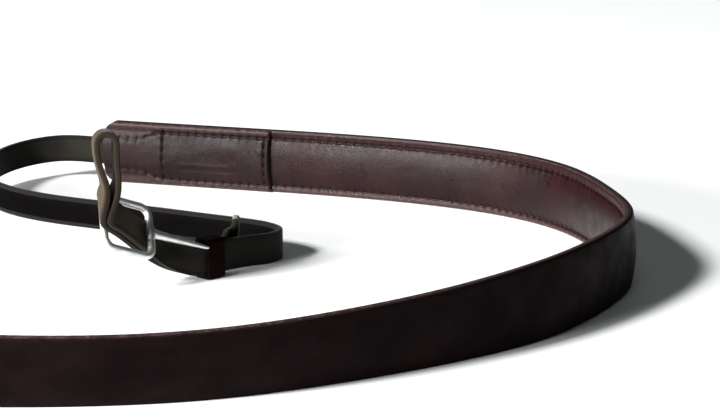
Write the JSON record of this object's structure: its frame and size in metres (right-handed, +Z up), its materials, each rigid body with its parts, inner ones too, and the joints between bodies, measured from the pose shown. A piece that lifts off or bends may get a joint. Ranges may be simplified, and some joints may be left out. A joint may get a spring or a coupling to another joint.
{
  "type": "camera neck strap",
  "caption": "Leather camera neck strap standing on its edge in an open loop: a wide padded band, with a narrow strap, keeper and wire buckle at each end.",
  "frame": {"origin": "the middle of the bounding box, on the surface the strap stands on", "axes": "+Z up, +X along the longest extent to the bend of the wide band, +Y to the far side of the loop, where the end with the seen buckle leaves the band"},
  "size_m": [0.4182, 0.3408, 0.0566],
  "materials": {
    "outer_leather": "satin",
    "lining_leather": "satin",
    "strap_leather": "matte",
    "nickel": "polished"
  },
  "bodies": {
    "root": {"outer_band": "outer_leather", "lining_band": "lining_leather", "end_patch_a": "lining_leather", "end_patch_b": "lining_leather", "narrow_strap_a": "strap_leather", "narrow_strap_b": "strap_leather", "keeper_a": "lining_leather", "keeper_b": "lining_leather", "buckle_a": "nickel", "buckle_b": "nickel"}
  },
  "joints": []
}
